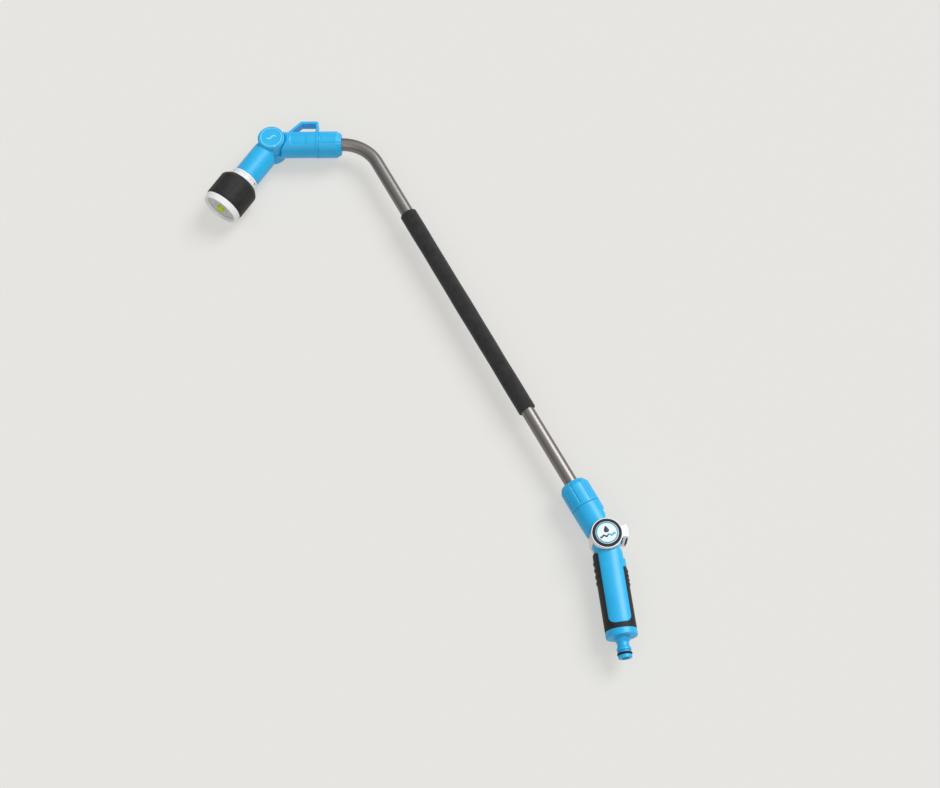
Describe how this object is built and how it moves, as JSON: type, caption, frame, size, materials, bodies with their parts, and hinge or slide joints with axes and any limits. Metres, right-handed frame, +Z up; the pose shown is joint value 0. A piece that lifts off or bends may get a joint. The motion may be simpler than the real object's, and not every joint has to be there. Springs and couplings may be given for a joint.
{
  "type": "watering wand",
  "caption": "Long bent-tube watering wand with a foam grip, a thumb-lever valve handle, a hose spigot, and a tilting spray head with a turning pattern dial.",
  "frame": {"origin": "bottom centre of the box of the wand as it lies, on the surface that its spray dial rests on", "axes": "+X along the straight tube from the valve to the head, +Y to the side that the handle, bend and head turn to, +Z up, away from the surface"},
  "size_m": [0.792, 0.2358, 0.051],
  "materials": {
    "blue_plastic": "glossy moulded ABS",
    "black_rubber": "matt overmoulded rubber",
    "white_plastic": "glossy moulded plastic",
    "grey_plastic": "satin moulded plastic",
    "lime_plastic": "glossy moulded plastic",
    "badge_face": "printed plastic disc",
    "tube_metal": "satin drawn tube",
    "foam": "closed-cell foam",
    "seal_rubber": "nitrile rubber",
    "inner_plastic": "acetal",
    "steel": "stainless steel"
  },
  "bodies": {
    "lance": {"lance_tube": "tube_metal", "foam_grip": "foam", "lower_nut": "blue_plastic", "lower_clamp_ring": "inner_plastic", "lower_tube_o_ring": "seal_rubber", "handle_core": "blue_plastic", "valve_band": "white_plastic", "grip_overmould": "black_rubber", "inlet_spigot": "blue_plastic", "spigot_o_ring": "seal_rubber", "inlet_seal": "seal_rubber", "inlet_filter": "inner_plastic", "valve_seat_front": "seal_rubber", "valve_seat_rear": "seal_rubber", "seat_retainer": "inner_plastic", "lever_rear_screw": "steel", "head_body": "blue_plastic", "upper_nut": "blue_plastic", "upper_clamp_ring": "inner_plastic", "upper_tube_o_ring": "seal_rubber", "pivot_rear_cap": "blue_plastic"},
    "lever": {"valve_ball": "inner_plastic", "valve_stem": "inner_plastic", "stem_o_ring": "seal_rubber", "lever_saddle": "white_plastic", "lever_trim_ring": "black_rubber", "lever_badge": "badge_face", "thumb_pad": "black_rubber", "lever_rear_cap": "white_plastic"},
    "neck": {"neck": "blue_plastic", "pivot_spigot": "inner_plastic", "pivot_o_rings": "seal_rubber", "pivot_washer": "steel", "pivot_screw": "steel", "pivot_cap": "blue_plastic", "index_collar": "white_plastic", "port_spring": "steel", "port_seal": "seal_rubber", "detent_spring": "steel", "detent_ball": "steel", "dial_o_ring": "seal_rubber", "centre_screw": "steel"},
    "dial": {"dial_body": "inner_plastic", "flow_divider": "inner_plastic", "dial_grip": "black_rubber", "dial_bezel": "white_plastic", "face_plate": "grey_plastic", "centre_nozzle": "lime_plastic"}
  },
  "joints": [
    {"name": "lever_turn", "type": "hinge", "parent": "lance", "child": "lever", "pos_m": [-0.26386, -0.09343, 0.0255], "axis": [0, 0, 1], "range_deg": [-29, 56]},
    {"name": "neck_tilt", "type": "hinge", "parent": "lance", "child": "neck", "pos_m": [0.37915, 0.01008, 0.0255], "axis": [0, 0, 1], "range_deg": [-135.95, 24.05]},
    {"name": "dial_spin", "type": "hinge", "parent": "neck", "child": "dial", "pos_m": [0.33951, 0.08527, 0.0255], "axis": [-0.4664, 0.8846, 0], "continuous": true}
  ]
}
